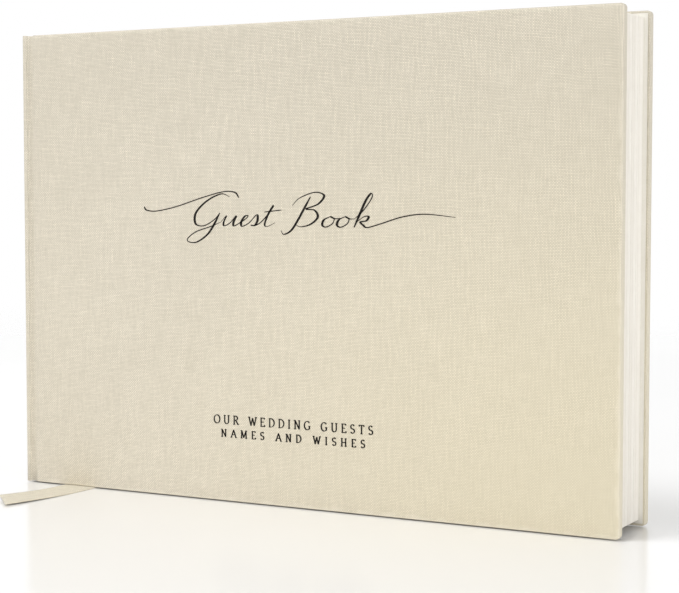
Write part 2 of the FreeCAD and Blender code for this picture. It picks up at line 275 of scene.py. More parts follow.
# %% Weave group
WANDER = 2.2
WEFT_DULLER = 0.37
CHANCE_DULLER = 0.14


def weave_group():
    group, given, result = new_group(
        "plain_weave",
        [("Vector", "Vector", None), ("Pitch", "Float", 0.00042), ("Slub", "Float", 0.5),
         ("Evenness", "Float", 0.3), ("Yarn Light", "Color", (0.8, 0.75, 0.64, 1)),
         ("Yarn Dark", "Color", (0.6, 0.55, 0.44, 1))],
        [("Colour", "Color"), ("Height", "Float"), ("Tone", "Float")])
    tree = group
    wander = add_node(tree, "ShaderNodeTexNoise",
                      {"Vector": given["Vector"], "Scale": 90.0, "Detail": 2.0})
    wander_parts = add_node(tree, "ShaderNodeSeparateColor", {0: wander.outputs["Color"]}).outputs
    place = add_node(tree, "ShaderNodeSeparateXYZ", {0: given["Vector"]}).outputs
    across = calc(tree, "ADD", calc(tree, "DIVIDE", place[0], given["Pitch"]),
                  calc(tree, "MULTIPLY", wander_parts[0], WANDER))
    along = calc(tree, "ADD", calc(tree, "DIVIDE", place[1], given["Pitch"]),
                 calc(tree, "MULTIPLY", wander_parts[1], WANDER))
    warp_number = calc(tree, "FLOOR", across)
    weft_number = calc(tree, "FLOOR", along)
    warp_wave = calc(tree, "ABSOLUTE", calc(tree, "SINE", calc(tree, "MULTIPLY", across, math.pi)))
    weft_wave = calc(tree, "ABSOLUTE", calc(tree, "SINE", calc(tree, "MULTIPLY", along, math.pi)))
    over = calc(tree, "FLOORED_MODULO", calc(tree, "ADD", warp_number, weft_number), 2.0)
    warp_high = calc(tree, "MULTIPLY", warp_wave, ramp(tree, weft_wave, 0.0, 1.0, 0.45, 1.0))
    weft_high = calc(tree, "MULTIPLY", weft_wave, ramp(tree, warp_wave, 0.0, 1.0, 0.45, 1.0))

    def yarn_tone(number, run, shift):
        spot = add_node(tree, "ShaderNodeCombineXYZ", {
            0: calc(tree, "MULTIPLY", number, 17.31), 1: calc(tree, "MULTIPLY", run, 0.05), 2: shift})
        return add_node(tree, "ShaderNodeTexNoise", {"Vector": spot.outputs[0], "Scale": 1.0,
                                                    "Detail": 3.0, "Roughness": 0.6}).outputs[0]

    warp_tone = yarn_tone(warp_number, along, 3.0)
    weft_tone = yarn_tone(weft_number, across, 90.0)
    height = add_node(tree, "ShaderNodeMix", {0: over, 2: warp_high, 3: weft_high}).outputs[0]
    tone = add_node(tree, "ShaderNodeMix", {0: over, 2: warp_tone, 3: weft_tone}).outputs[0]
    slub = calc(tree, "MULTIPLY", ramp(tree, tone, 0.58, 0.72), given["Slub"])
    streak = calc(tree, "MULTIPLY", ramp(tree, tone, 0.3, 0.7, -0.5, 0.5),
                  calc(tree, "SUBTRACT", 1.0, given["Evenness"]))
    crossing = add_node(tree, "ShaderNodeCombineXYZ", {0: warp_number, 1: weft_number}).outputs[0]
    chance = add_node(tree, "ShaderNodeTexWhiteNoise", {0: crossing}, noise_dimensions="2D").outputs[0]
    turn = calc(tree, "ADD", calc(tree, "MULTIPLY", over, -WEFT_DULLER),
                calc(tree, "MULTIPLY", chance, -CHANCE_DULLER))
    lit = calc(tree, "ADD", calc(tree, "ADD", streak, turn), calc(tree, "MULTIPLY", height, 1.15))
    colour = blend_colour(tree, lit, given["Yarn Dark"], given["Yarn Light"])
    tree.links.new(colour, result["Colour"])
    tree.links.new(calc(tree, "ADD", height, slub), result["Height"])
    tree.links.new(ramp(tree, tone, 0.3, 0.7), result["Tone"])
    return group


plain_weave = weave_group()
print("plain_weave has", len(plain_weave.nodes), "nodes")

# %% [markdown]
# Handling leaves its mark at the edges first: the linen over the board's edge is rubbed smoother and
# a little lighter.  The rub group finds how near a point is to the edge of a box, here the box of the
# whole case, which the covers and the spine share through their linen.

# %% Edge rub group
def rub_group():
    group, given, result = new_group(
        "edge_rub",
        [("Vector", "Vector", None), ("Low", "Vector", (0, 0, 0)), ("High", "Vector", (1, 1, 1)),
         ("Width", "Float", 0.002)],
        [("Mask", "Float")])
    tree = group
    above = add_node(tree, "ShaderNodeVectorMath", {0: given["Vector"], 1: given["Low"]},
                     operation="SUBTRACT")
    below = add_node(tree, "ShaderNodeVectorMath", {0: given["High"], 1: given["Vector"]},
                     operation="SUBTRACT")
    nearest = add_node(tree, "ShaderNodeVectorMath", {0: above.outputs[0], 1: below.outputs[0]},
                       operation="MINIMUM")
    parts = add_node(tree, "ShaderNodeSeparateXYZ", {0: nearest.outputs[0]}).outputs
    distance = calc(tree, "MINIMUM", parts[0], parts[2])
    patchy = add_node(tree, "ShaderNodeTexNoise",
                      {"Vector": given["Vector"], "Scale": 220.0, "Detail": 3.0})
    reach = calc(tree, "MULTIPLY", given["Width"], ramp(tree, patchy.outputs[0], 0.3, 0.7, 0.4, 1.6))
    mask = calc(tree, "SUBTRACT", 1.0, calc(tree, "MINIMUM", calc(tree, "DIVIDE", distance, reach), 1.0))
    tree.links.new(calc(tree, "MAXIMUM", mask, 0.0), result["Mask"])
    return group


edge_rub = rub_group()
print("edge_rub ready")

# %% [markdown]
# Cloth is laid flat on every side of a board and folded over its edges.  So the two directions of
# the yarns depend on which way a face looks: along X and Z on a cover, along Y and Z on the spine, and
# along X and Y on the head and tail.  A small group picks them from the normal of the surface.

# %% Cloth lay group
def lay_group():
    group, given, result = new_group(
        "cloth_lay", [("Vector", "Vector", None), ("Facing", "Vector", (0, 1, 0))], [("Flat", "Vector")])
    tree = group
    place = add_node(tree, "ShaderNodeSeparateXYZ", {0: given["Vector"]}).outputs
    size = add_node(tree, "ShaderNodeVectorMath", {0: given["Facing"]}, operation="ABSOLUTE").outputs[0]
    facing = add_node(tree, "ShaderNodeSeparateXYZ", {0: size}).outputs
    sideways = calc(tree, "GREATER_THAN", facing[0], 0.7)
    upward = calc(tree, "GREATER_THAN", facing[2], 0.7)
    first = add_node(tree, "ShaderNodeMix", {0: sideways, 2: place[0], 3: place[1]}).outputs[0]
    second = add_node(tree, "ShaderNodeMix", {0: upward, 2: place[2], 3: place[1]}).outputs[0]
    flat = add_node(tree, "ShaderNodeCombineXYZ", {0: first, 1: second}).outputs[0]
    tree.links.new(flat, result["Flat"])
    return group


cloth_lay = lay_group()
print("cloth_lay ready")

# %% [markdown]
# The linen itself is pale and undyed.  The weave group gives its colour and relief, broad soft noise
# keeps large areas from looking even, and the rub lightens the edges.  Towards the lower fore-edge
# corner a warmer yellow is painted in, a painted warm light that turns back to neutral over about
# 19 cm.  Painted shade darkens the hollows between the yarns, more and more towards the head, so the
# weave shows a little more strongly there and the top of the cover reads darker.

# %% Linen material
LINEN_LIGHT = (0.868, 0.798, 0.668, 1)
LINEN_DARK = (0.476, 0.434, 0.345, 1)
LINEN_RUBBED = (0.85, 0.79, 0.66, 1)
# Painted warm light: the tint for the lower fore-edge corner
LINEN_WARM_LIGHT = (0.715, 0.638, 0.428, 1)
# Painted shade: the colour laid into the hollows of the weave towards the head
HEAD_SHADE_COLOUR = (0.30, 0.285, 0.25, 1)
YARN_PITCH = 0.42 * MM
WARM_LIGHT_REACH = 0.19
WARM_LIGHT_TONE = 0.42
HEAD_SHADE_AMOUNT = 0.32


def linen():
    material, tree, shader = new_material("cover_linen", roughness=0.92, specular=0.18, sheen=0.12)
    spots = add_node(tree, "ShaderNodeTexCoord").outputs
    place = spots["Object"]
    flat = use_group(tree, cloth_lay, Vector=place, Facing=spots["Normal"])["Flat"]
    cloth = use_group(tree, plain_weave, Vector=flat, Pitch=YARN_PITCH, Slub=0.55, Evenness=0.68,
                      Yarn_Light=LINEN_LIGHT, Yarn_Dark=LINEN_DARK)
    cloudy = add_node(tree, "ShaderNodeTexNoise", {"Vector": place, "Scale": 22.0, "Detail": 3.0})
    shaded = blend_colour(tree, ramp(tree, cloudy.outputs[0], 0.35, 0.7, 0.0, 0.08),
                          cloth["Colour"], LINEN_DARK)
    # Painted warm light: the cloth is tinted warmer and yellower towards the lower fore-edge corner,
    # fading out over the reach set above
    reach = add_node(tree, "ShaderNodeVectorMath", {0: place, 1: (case_right, 0, case_bottom)},
                     operation="DISTANCE").outputs[1]
    warm_light_share = ramp(tree, reach, 0.0, WARM_LIGHT_REACH, WARM_LIGHT_TONE, 0.0)
    warm_lit = blend_colour(tree, warm_light_share, shaded, LINEN_WARM_LIGHT)
    rub = use_group(tree, edge_rub, Vector=place, Low=(case_left - 1, front_face, case_bottom),
                    High=(case_right, -front_face, case_top), Width=1.2 * MM)
    worn = blend_colour(tree, calc(tree, "MULTIPLY", rub["Mask"], 0.45), warm_lit, LINEN_RUBBED)
    # Painted shade: the hollows between the yarns are darkened more and more towards the head, so the
    # top of the cover reads darker and its weave stronger
    level = add_node(tree, "ShaderNodeSeparateXYZ", {0: place}).outputs[2]
    head_shade = ramp(tree, level, case_bottom, case_top, 0.0, HEAD_SHADE_AMOUNT)
    hollow = calc(tree, "MAXIMUM", calc(tree, "SUBTRACT", 1.1, cloth["Height"]), 0.0)
    shaded_towards_head = blend_colour(tree, calc(tree, "MULTIPLY", head_shade, hollow), worn, HEAD_SHADE_COLOUR)
    finish_shader(tree, shader, shaded_towards_head, cloth["Height"], strength=0.55, depth=0.00012,
                  roughness=ramp(tree, cloth["Tone"], 0.0, 1.0, 0.95, 0.82))
    return material


cover_linen = linen()
print("linen yarns are", round(YARN_PITCH / MM, 2), "mm apart")

# %% [markdown]
# ## The covers
# On the real case a board lies in glued linen that is folded over three edges.  What shows is a slab
# with soft edges, rounded corners at the fore-edge and a face that is never quite flat.  A box
# with bevelled edges gives the first two.  Cutting it into small panels gives the face enough
# points to take a faint swell, so that the light runs unevenly over it.

# %% Rounded slabs
def mesh_object(name, mesh_data, material, body=None, smooth=True):
    """An object from a bmesh, riding on its body, or free of any body when none is given."""
    mesh = bpy.data.meshes.new(name)
    mesh_data.to_mesh(mesh)
    mesh_data.free()
    mesh.materials.append(material)
    for face in mesh.polygons:
        face.use_smooth = smooth
    piece = bpy.data.objects.new(name, mesh)
    bpy.context.scene.collection.objects.link(piece)
    if body:
        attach(piece, body)
    return piece


def box_mesh(low, high):
    made = bmesh.new()
    bmesh.ops.create_cube(made, size=1.0)
    low = Vector(low)
    span = Vector(high) - low
    for vertex in made.verts:
        vertex.co = Vector(low[i] + (vertex.co[i] + 0.5) * span[i] for i in range(3))
    return made


def bevel_where(made, wanted, width, steps):
    edges = [edge for edge in made.edges if wanted(*[v.co for v in edge.verts])]
    bmesh.ops.bevel(made, geom=edges, offset=width, segments=steps, profile=0.5, affect="EDGES")


def slice_along(made, axis, low, high, count):
    """Cut the mesh into panels with planes across one axis."""
    normal = Vector(1.0 if i == axis else 0.0 for i in range(3))
    for k in range(1, count):
        point = normal * (low + (high - low) * k / count)
        bmesh.ops.bisect_plane(made, geom=made.verts[:] + made.edges[:] + made.faces[:],
                               dist=1e-7, plane_co=point, plane_no=normal)


def swell(made, axis, amount, size, seed):
    """Move the points a little along one axis with smooth noise."""
    for vertex in made.verts:
        vertex.co[axis] += amount * noise.noise(vertex.co / size + Vector((seed, 0, 0)))


print("slab helpers ready")

# %% Cover slabs
COVER_EDGE = 0.55 * MM
COVER_CORNER = 1.3 * MM
COVER_SWELL = 0.06 * MM


def cover_slab(side):
    """One covered board; the front one, or the back one mirrored to +Y."""
    low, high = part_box(side + "_cloth")
    made = box_mesh(low, high)
    right = high[0]

    def fore_corner(a, b):
        return abs(a.x - right) < 1e-7 and abs(b.x - right) < 1e-7 and abs(a.y - b.y) > 1e-4

    def around_faces(a, b):
        return abs(a.y - b.y) < 1e-7 and (abs(a.y - low[1]) < 1e-7 or abs(a.y - high[1]) < 1e-7)

    bevel_where(made, fore_corner, COVER_CORNER, 5)
    bevel_where(made, around_faces, COVER_EDGE, 4)
    slice_along(made, 0, low[0], high[0], 30)
    slice_along(made, 2, low[2], high[2], 22)
    swell(made, 1, COVER_SWELL, 0.03, 5.0 if side == "front" else 11.0)
    piece = mesh_object(side + "_linen", made, cover_linen, side + "_cover")
    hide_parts(side + "_cloth")
    return piece


front_linen = cover_slab("front")
back_linen = cover_slab("back")
print("cover slabs:", len(front_linen.data.vertices), "points each")

# %% [markdown]
# ## The spine and the grooves
# The spine is a narrow board in the same linen.  Between it and each cover the linen drops
# into a groove, which is where the cover bends.  The strip in the groove is a sheet that dips from
# the shoulder of the block to the edge of the cover, left free of any body.

# %% Spine
SPINE_OUTER_EDGE = 0.6 * MM
SPINE_INNER_EDGE = 0.5 * MM


def spine_slab():
    low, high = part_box("spine_cloth")
    made = box_mesh(low, high)
    left = low[0]

    def outer_edges(a, b):
        return abs(a.x - left) < 1e-7 and abs(b.x - left) < 1e-7

    def inner_edges(a, b):
        return abs(a.x - high[0]) < 1e-7 and abs(b.x - high[0]) < 1e-7

    bevel_where(made, outer_edges, SPINE_OUTER_EDGE, 5)
    bevel_where(made, inner_edges, SPINE_INNER_EDGE, 3)
    slice_along(made, 2, low[2], high[2], 22)
    slice_along(made, 1, low[1], high[1], 6)
    swell(made, 0, 0.02 * MM, 0.025, 3.0)
    piece = mesh_object("spine_linen_cover", made, cover_linen, "book_block")
    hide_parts("spine_cloth")
    return piece


spine_piece = spine_slab()
print("spine:", [round(v / MM, 1) for v in spine_piece.dimensions], "mm")

# %% Groove strips
def strip_mesh(path, thickness, bottom, top, steps):
    """A thin sheet that follows a path of (x, y) points and stands from bottom to top."""
    made = bmesh.new()
    rows = []
    for k in range(steps + 1):
        z = bottom + (top - bottom) * k / steps
        rings = []
        for side in (0.5, -0.5):
            points = []
            for i, (x, y) in enumerate(path):
                before = Vector(path[max(i - 1, 0)])
                after = Vector(path[min(i + 1, len(path) - 1)])
                run = (after - before).normalized() * side * thickness
                points.append(made.verts.new((x - run.y, y + run.x, z)))
            rings.append(points)
        rows.append(rings[0] + rings[1][::-1])
    for lower, upper in zip(rows, rows[1:]):
        for i in range(len(lower)):
            j = (i + 1) % len(lower)
            made.faces.new((lower[i], lower[j], upper[j], upper[i]))
    count = len(path)
    for row in (rows[0], rows[-1]):
        for i in range(count - 1):
            made.faces.new((row[i], row[i + 1], row[2 * count - 2 - i], row[2 * count - 1 - i]))
    bmesh.ops.recalc_face_normals(made, faces=made.faces)
    return made


GROOVE_POINTS = 14
GROOVE_TUCK = 0.15 * MM
GROOVE_SHALLOW = 0.45 * MM
GROOVE_DEEPER = 0.55 * MM
GROOVE_LINEN = 0.3 * MM


def groove_strip(side):
    sign = -1 if side == "front" else 1
    face = sign * abs(front_face)
    start = shoulder - GROOVE_TUCK
    end = cover_start + GROOVE_TUCK
    path = []
    for i in range(GROOVE_POINTS + 1):
        share = i / GROOVE_POINTS
        dip = GROOVE_SHALLOW + GROOVE_DEEPER * math.sin(math.pi * share)
        path.append((start + (end - start) * share, face - sign * dip))
    made = strip_mesh(path, GROOVE_LINEN, case_bottom + GROOVE_TUCK, case_top - GROOVE_TUCK, 30)
    swell(made, 1, 0.04 * MM, 0.012, 7.0)
    piece = mesh_object(side + "_groove_linen", made, cover_linen)
    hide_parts(side + "_hinge_cloth")
    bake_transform(piece)


for side in ("front", "back"):
    groove_strip(side)
print("groove strips made")

# %% [markdown]
# ## Paper
# Writing paper looks plain, but its fibres give it a soft mottle and a faint tooth.  On the edge of
# the block each leaf is a line of its own, a shade lighter or darker than the next.
# One group makes the sheet, and the block adds a tone for each leaf counted through its thickness.

# %% Paper group and materials
EDGE_LINE = 0.2 * MM


def fibre_group():
    group, given, result = new_group(
        "paper_fibre",
        [("Vector", "Vector", None), ("Sheet", "Color", (0.9, 0.88, 0.82, 1)), ("Mottle", "Float", 0.5)],
        [("Colour", "Color"), ("Height", "Float")])
    tree = group
    fine = add_node(tree, "ShaderNodeTexNoise",
                    {"Vector": given["Vector"], "Scale": 2400.0, "Detail": 3.0})
    cloud = add_node(tree, "ShaderNodeTexNoise",
                     {"Vector": given["Vector"], "Scale": 260.0, "Detail": 4.0})
    shade = calc(tree, "ADD", calc(tree, "MULTIPLY", fine.outputs[0], 0.5),
                 calc(tree, "MULTIPLY", cloud.outputs[0], 0.5))
    amount = calc(tree, "MULTIPLY", ramp(tree, shade, 0.35, 0.65, 0.14, 0.0), given["Mottle"])
    darker = add_node(tree, "ShaderNodeVectorMath", {0: given["Sheet"], 1: (0.6, 0.56, 0.48)},
                      operation="MULTIPLY").outputs[0]
    tree.links.new(blend_colour(tree, amount, given["Sheet"], darker), result["Colour"])
    tree.links.new(shade, result["Height"])
    return group


paper_fibre = fibre_group()


def paper(name, sheet, mottle=0.6, leaf_tone=0.0, roughness=0.88):
    material, tree, shader = new_material(name, roughness=roughness, specular=0.22)
    place = add_node(tree, "ShaderNodeTexCoord").outputs["Object"]
    fibre = use_group(tree, paper_fibre, Vector=place, Sheet=sheet, Mottle=mottle)
    colour = fibre["Colour"]
    if leaf_tone:
        through = add_node(tree, "ShaderNodeSeparateXYZ", {0: place}).outputs[1]
        leaf = calc(tree, "FLOOR", calc(tree, "DIVIDE", through, EDGE_LINE))
        tone = add_node(tree, "ShaderNodeTexWhiteNoise", {"W": leaf}, noise_dimensions="1D").outputs[0]
        band = add_node(tree, "ShaderNodeTexNoise",
                        {"W": calc(tree, "MULTIPLY", through, 700.0), "Scale": 1.0},
                        noise_dimensions="1D").outputs[0]
        both = calc(tree, "ADD", tone, ramp(tree, band, 0.35, 0.65))
        amount = calc(tree, "MULTIPLY", both, leaf_tone / 2)
        colour = blend_colour(tree, amount, colour, (0.60, 0.53, 0.42, 1))
    finish_shader(tree, shader, colour, fibre["Height"], strength=0.25, depth=0.00003,
                  roughness=ramp(tree, fibre["Height"], 0.3, 0.7, roughness - 0.05, roughness + 0.05))
    return material


page_edge_paper = paper("page_paper", (0.95, 0.915, 0.85, 1), leaf_tone=0.17)
leaf_paper = paper("leaf_paper", (0.86, 0.83, 0.765, 1))
end_paper = paper("endpaper", (0.83, 0.795, 0.715, 1), mottle=0.9)
kraft = paper("kraft_lining", (0.52, 0.38, 0.24, 1), mottle=1.6, roughness=0.8)
print("papers:", page_edge_paper.name, leaf_paper.name, end_paper.name, kraft.name)

# %% [markdown]
# ## The sections
# Four sheets are folded together once and sewn through the fold: eight leaves, one section.  The
# knife that trims the block never cuts every leaf alike, so their ends differ by a few hundredths
# of a millimetre.  Each sheet is drawn as the path that it takes, out along the front leaf, round the
# fold and back, and given the thickness of paper.  At the head the folds can then be counted.  The
# ribbon lies between the two middle sections, and their leaves close over it past its edge.

# %% Folded sheets
rng = random.Random(24)
SHEETS = 4
PAPER = fly_high[1] - fly_low[1]
LEAF_PITCH = (page_high[1] - page_low[1]) / (2 * SHEETS)
LEAF_UNEVEN = 0.05 * MM
TRIM_UNEVEN = 0.04 * MM
GUTTER_STUB = 5.9 * MM
RIBBON_SECTIONS = (6, 7)
CLOSING_FROM = -50 * MM
CLOSING_OVER = 45 * MM


def fold_path(front_y, back_y, centre_x, front_end, back_end):
    """The middle line of one folded sheet, from the end of its front leaf to that of its back leaf."""
    radius = (back_y - front_y) / 2
    middle = (back_y + front_y) / 2
    path = [(front_end, front_y)]
    path += [(centre_x + (front_end - centre_x) * k / 4, front_y) for k in (3, 2, 1)]
    for k in range(9):
        angle = math.radians(90 + 180 * k / 8)
        path.append((centre_x + radius * math.cos(angle), middle - radius * math.sin(angle)))
    path += [(centre_x + (back_end - centre_x) * k / 4, back_y) for k in (1, 2, 3)]
    path.append((back_end, back_y))
    return path


def close_over_ribbon(made, front_y, back_y):
    """Spread the leaves beside the ribbon, so that the block closes again towards the fore-edge."""
    middle = (front_y + back_y) / 2
    towards = -middle / abs(middle)
    gap = min(abs(front_y), abs(back_y))
    for vertex in made.verts:
        share = max((vertex.co.y - middle) * towards / (back_y - front_y) * 2, 0)
        clear = min(max((vertex.co.x - CLOSING_FROM) / CLOSING_OVER, 0), 1)
        vertex.co.y += towards * gap * 0.9 * share * clear


def section_piece(number):
    node = f"section_{number:02d}"
    low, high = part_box(node)
    whole = bmesh.new()
    centre_x = low[0] + (high[1] - low[1]) / 2
    for sheet in range(SHEETS):
        inset = (sheet + 0.5) * LEAF_PITCH
        ends = [high[0] - abs(rng.gauss(0, LEAF_UNEVEN)) for _ in range(2)]
        if number == 1 and sheet < 2:
            ends[0] = low[0] + GUTTER_STUB
        path = fold_path(low[1] + inset, high[1] - inset, centre_x, *ends)
        tail = low[2] + abs(rng.gauss(0, TRIM_UNEVEN))
        head = high[2] - abs(rng.gauss(0, TRIM_UNEVEN))
        made = strip_mesh(path, PAPER, tail, head, 6)
        scratch = bpy.data.meshes.new("sheet")
        made.to_mesh(scratch)
        made.free()
        whole.from_mesh(scratch)
        bpy.data.meshes.remove(scratch)
    if number in RIBBON_SECTIONS:
        close_over_ribbon(whole, low[1], high[1])
    piece = mesh_object(f"folded_{node}", whole, page_edge_paper, "book_block", smooth=False)
    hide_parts(node)
    return piece


section_pieces = [section_piece(number) for number in range(1, 13)]
print(len(section_pieces), "sections of", 2 * SHEETS, "leaves,", round(PAPER / MM, 2), "mm paper")

# %% [markdown]
# ## Leaves that turn
# The flyleaves and the first two leaves turn with their cover.  A sheet this thin is a grid
# with a faint cockle, the gentle wave that paper takes from damp air.

# %% Turning leaves
COCKLE = 0.015 * MM


def paper_leaf(node, body, material, seed):
    low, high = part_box(node)
    made = box_mesh(low, high)
    slice_along(made, 0, low[0], high[0], 28)
    slice_along(made, 2, low[2], high[2], 20)
    swell(made, 1, COCKLE, 0.02, seed)
    piece = mesh_object(node + "_sheet", made, material, body)
    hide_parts(node)


paper_leaf("front_flyleaf", "front_flyleaf", end_paper, 1.0)
paper_leaf("back_flyleaf", "back_flyleaf", end_paper, 2.0)
paper_leaf("leaf_01", "leaf_01", leaf_paper, 3.0)
paper_leaf("leaf_02", "leaf_02", leaf_paper, 4.0)
print("four turning leaves")

# %% [markdown]
# ## Pastedowns and the paper over the joint
# The pastedown is the half of the endpaper that is glued inside the cover.  Under it lie the
# folded linen and the flap of mull, and both show through as low ridges.  In the joint the paper
# runs from the cover to the block in a small fold, which opens as the cover turns.

# %% Pastedowns
PASTE_REACH = 1.2 * MM
TURN_IN = 12.0 * MM
TURN_IN_RIDGE = 0.10 * MM
FLAP = 25.0 * MM
FLAP_RIDGE = 0.04 * MM
RIDGE_SLOPE = 3 * MM


def pastedown(side):
    low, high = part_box(side + "_pastedown")
    low = (low[0], low[1], low[2] - PASTE_REACH)
    high = (high[0] + PASTE_REACH, high[1], high[2] + PASTE_REACH)
    inner = high[1] if side == "front" else low[1]
    outward = -1 if side == "front" else 1
    made = box_mesh(low, high)
    for axis, count in ((0, 60), (2, 44)):
        slice_along(made, axis, low[axis], high[axis], count)
    for vertex in made.verts:
        if abs(vertex.co.y - inner) > 1e-6:
            continue
        near = min(high[0] - vertex.co.x, vertex.co.z - low[2], high[2] - vertex.co.z)
        share = min(max((near - TURN_IN) / RIDGE_SLOPE, 0), 1)
        flap = min(max((vertex.co.x - low[0] - FLAP) / RIDGE_SLOPE, 0), 1)
        vertex.co.y += outward * (TURN_IN_RIDGE * share + FLAP_RIDGE * flap * share)
    piece = mesh_object(side + "_pastedown_paper", made, end_paper, side + "_cover")
    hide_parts(side + "_pastedown")


# %% Joint papers
JOINT_FOLD = [(0.10, 0.10), (0.30, -1.00), (0.60, -1.95), (1.05, -2.05), (1.50, -1.30), (1.75, -0.02)]
COVER_DEPTH = 3.2 * MM
JOINT_PAPER = 0.12 * MM


def joint_paper(side):
    """The endpaper in the joint: folded into the groove and left free of any body."""
    sign = -1 if side == "front" else 1
    inner_face = abs(front_face) - COVER_DEPTH
    path = [(block_left + x * MM, sign * (inner_face - y * MM)) for x, y in JOINT_FOLD]
    made = strip_mesh(path, JOINT_PAPER, block_bottom, block_top, 24)
    short = [edge for edge in made.edges if edge.calc_length() < 1.0 * MM]
    bmesh.ops.subdivide_edges(made, edges=short, cuts=1)
    piece = mesh_object(side + "_joint_paper", made, end_paper)
    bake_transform(piece)


for side in ("front", "back"):
    pastedown(side)
    joint_paper(side)
print("pastedowns and joints papered")

# %% [markdown]
# ## Boards, mull and lining
# These are hidden, or seen only down the hollow of the spine, and their measured shapes are right as
# they are.  They still get true finishes: grey pulp board, open cotton mull and brown kraft paper.

# %% Finishes of the hidden pieces
def grey_board():
    material, tree, shader = new_material("grey_board", roughness=0.93, specular=0.15)
    place = add_node(tree, "ShaderNodeTexCoord").outputs["Object"]
    fibre = use_group(tree, paper_fibre, Vector=place, Sheet=(0.36, 0.34, 0.30, 1), Mottle=2.5)
    specks = add_node(tree, "ShaderNodeTexNoise", {"Vector": place, "Scale": 900.0, "Detail": 1.0})
    colour = blend_colour(tree, ramp(tree, specks.outputs[0], 0.66, 0.72, 0.0, 0.6),
                          fibre["Colour"], (0.12, 0.11, 0.10, 1))
    finish_shader(tree, shader, colour, fibre["Height"], strength=0.5, depth=0.00008)
    return material


def woven(name, light, dark, pitch, sheen=0.1):
    """Cloth or thread in the plain weave, with its yarns along Y and Z."""
    material, tree, shader = new_material(name, roughness=0.85, specular=0.2, sheen=sheen)
    place = add_node(tree, "ShaderNodeTexCoord").outputs["Object"]
    parts = add_node(tree, "ShaderNodeSeparateXYZ", {0: place}).outputs
    flat = add_node(tree, "ShaderNodeCombineXYZ", {0: parts[1], 1: parts[2]}).outputs[0]
    cloth = use_group(tree, plain_weave, Vector=flat, Pitch=pitch, Slub=0.3,
                      Yarn_Light=light, Yarn_Dark=dark)
    finish_shader(tree, shader, cloth["Colour"], cloth["Height"], strength=0.6, depth=0.0001,
                  roughness=ramp(tree, cloth["Tone"], 0.0, 1.0, 0.9, 0.78))
    return material


board_finish = grey_board()
mull_finish = woven("open_mull", (0.86, 0.84, 0.78, 1), (0.42, 0.40, 0.36, 1), 0.0009)
band_finish = woven("band_tape", (0.82, 0.76, 0.62, 1), (0.60, 0.54, 0.42, 1), 0.0003)
thread_finish = woven("waxed_thread", (0.84, 0.80, 0.70, 1), (0.55, 0.50, 0.40, 1), 0.0002)

KEPT = {
    "front_board": board_finish, "back_board": board_finish, "spine_board": board_finish,
    "front_mull_flap": mull_finish, "back_mull_flap": mull_finish, "mull": mull_finish,
    "spine_lining": kraft, "sewing_threads": thread_finish,
    "headband": band_finish, "tailband": band_finish,
    "front_endpaper_tip": end_paper, "back_endpaper_tip": end_paper,
}
for node, material in KEPT.items():
    nodes[node].data.materials.clear()
    nodes[node].data.materials.append(material)
print(len(KEPT), "measured pieces given a finish")

# %% [markdown]
# ## Head- and tailband
# A headband is a cord wrapped with silk in two colours, and it fills the gap between the block and
# the spine.  The cord and its tape come from the frame.  The wraps are small rings of thread side by
# side around the cord, with the colour changing every third turn, as a weaver would count them.

# %% Wraps
WRAP_PITCH = 0.42 * MM
WRAP_THREAD = 0.2 * MM
WRAP_LEAN = 0.08 * MM
WRAP_SUNK = 0.06 * MM
TURNS_OF_A_COLOUR = 3


def ring_faces(made, centre, radius, thread, lean, sides=14, around=7):
    rows = []
    for i in range(sides):
        angle = 2 * math.pi * i / sides
        spoke = Vector((math.cos(angle), 0, math.sin(angle)))
        row = []
        for k in range(around):
            turn = 2 * math.pi * k / around
            out = spoke * (radius + thread * math.cos(turn))
            shift = thread * math.sin(turn) + lean * math.sin(angle)
            row.append(made.verts.new(Vector(centre) + out + Vector((0, shift, 0))))
        rows.append(row)
    for i in range(sides):
        for k in range(around):
            made.faces.new((rows[i][k], rows[(i + 1) % sides][k],
                            rows[(i + 1) % sides][(k + 1) % around], rows[i][(k + 1) % around]))


def wraps(node, first, second):
    low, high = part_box(node)
    radius = (high[0] - low[0]) / 2
    at_head = node == "headband"
    centre_z = high[2] - radius if at_head else low[2] + radius
    centre_x = high[0] - radius
    count = int((high[1] - low[1] - 2 * WRAP_THREAD) / WRAP_PITCH)
    groups = (bmesh.new(), bmesh.new())
    for i in range(count + 1):
        y = low[1] + WRAP_THREAD + i * WRAP_PITCH
        ring_faces(groups[(i // TURNS_OF_A_COLOUR) % 2], (centre_x, y, centre_z),
                   radius - WRAP_SUNK, WRAP_THREAD, WRAP_LEAN)
    for made, material, word in zip(groups, (first, second), ("cream", "beige")):
        bmesh.ops.recalc_face_normals(made, faces=made.faces)
        piece = mesh_object(f"{node}_{word}_wraps", made, material, "book_block")
    return count + 1


cream_silk = woven("cream_silk", (0.88, 0.84, 0.74, 1), (0.70, 0.64, 0.52, 1), 0.00012, sheen=0.4)
beige_silk = woven("beige_silk", (0.62, 0.50, 0.34, 1), (0.42, 0.32, 0.20, 1), 0.00012, sheen=0.4)
for node in ("headband", "tailband"):
    print(node, "has", wraps(node, cream_silk, beige_silk), "wraps")

# %% [markdown]
# ## The ribbon marker
# The marker is a flat woven strip, glued in at the head, that runs down between the pages and out at
# the tail, onto the table and under the front cover.  It is limp one way and stiff the other, so it
# bends over its flat side and only drifts sideways.  The strip follows one middle line, and
# each point across it keeps its distance.  The end is cut at a slant so that it doesn't fray.

